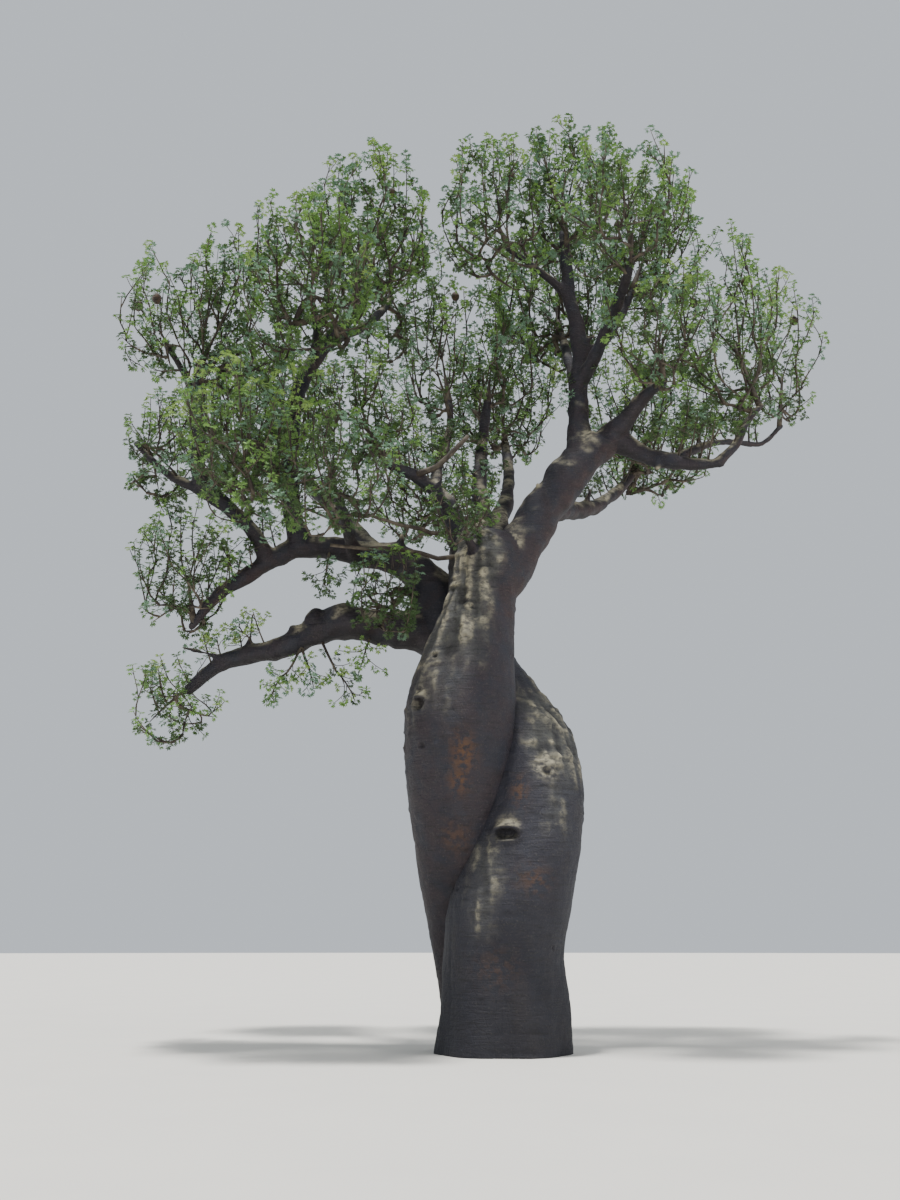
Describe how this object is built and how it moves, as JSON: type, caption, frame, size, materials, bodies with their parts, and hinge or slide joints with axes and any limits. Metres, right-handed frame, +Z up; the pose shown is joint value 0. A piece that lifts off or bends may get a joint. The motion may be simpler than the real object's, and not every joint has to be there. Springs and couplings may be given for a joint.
{
  "type": "baobab tree",
  "caption": "Old baobab tree with stout entwined trunks, smooth bare boughs and an open crown of upright twigs with tufts of leaves.",
  "frame": {"origin": "middle of the flat cut under the right trunk, at ground level", "axes": "+X to the viewer's right in the picture, +Y away from the viewer, +Z up"},
  "size_m": [12.2189, 8.1977, 15.6565],
  "materials": {
    "bark_pale": "matte flaking bark",
    "bark_grey": "matte wrinkled bark",
    "bark_bough": "matte smooth bark",
    "leaf_olive": "matte leaf",
    "leaf_light": "matte leaf",
    "leaf_deep": "matte leaf",
    "leaf_yellow": "matte leaf",
    "leaf_grey": "matte leaf"
  },
  "bodies": {
    "root": {"trunk_left": "bark_pale", "trunk_right": "bark_grey", "bough_right": "bark_bough", "bough_left_upper": "bark_bough", "bough_left_lower": "bark_bough", "bough_rear": "bark_bough", "bough_right_leader": "bark_bough", "bough_right_arm": "bark_bough", "bough_right_rise": "bark_bough", "bough_right_back": "bark_bough", "bough_centre": "bark_bough", "bough_centre_left": "bark_bough", "bough_centre_back": "bark_bough", "bough_left_drop": "bark_bough", "bough_left_rise": "bark_bough", "bough_left_back": "bark_bough", "bough_left_front": "bark_bough", "bough_low_spur": "bark_bough", "bough_left_upright": "bark_bough", "bough_leader_back": "bark_bough", "bough_leader_front": "bark_bough", "bough_top_right": "bark_bough", "bough_top_left": "bark_bough", "bough_right_upright": "bark_bough", "bough_right_outer": "bark_bough", "bough_centre_fork": "bark_bough", "bough_crown_spur": "bark_bough", "bough_left_rise_front": "bark_bough", "bough_left_rise_back": "bark_bough", "bough_left_mid_front": "bark_bough", "bough_left_fork": "bark_bough", "bough_left_far": "bark_bough", "foliage_right_leader": "leaf_olive", "foliage_top_left": "leaf_light", "foliage_top_right": "leaf_deep", "foliage_leader_back": "leaf_yellow", "foliage_leader_front": "leaf_grey", "foliage_right_upright": "leaf_olive", "foliage_right_outer": "leaf_light", "foliage_right_rise": "leaf_deep", "foliage_right_back": "leaf_yellow", "foliage_centre": "leaf_grey", "foliage_centre_fork": "leaf_olive", "foliage_centre_back": "leaf_light", "foliage_centre_left": "leaf_deep", "foliage_left_rise": "leaf_yellow", "foliage_left_rise_front": "leaf_grey", "foliage_left_rise_back": "leaf_olive", "foliage_left_upright": "leaf_light", "foliage_left_fork": "leaf_deep", "foliage_left_far": "leaf_yellow", "foliage_left_drop": "leaf_grey", "foliage_left_lower": "leaf_olive", "foliage_left_front": "leaf_light", "foliage_left_mid_front": "leaf_deep", "foliage_left_back": "leaf_yellow", "foliage_rear": "leaf_grey", "foliage_low_spur": "leaf_olive", "foliage_crown_spur": "leaf_light"}
  },
  "joints": []
}
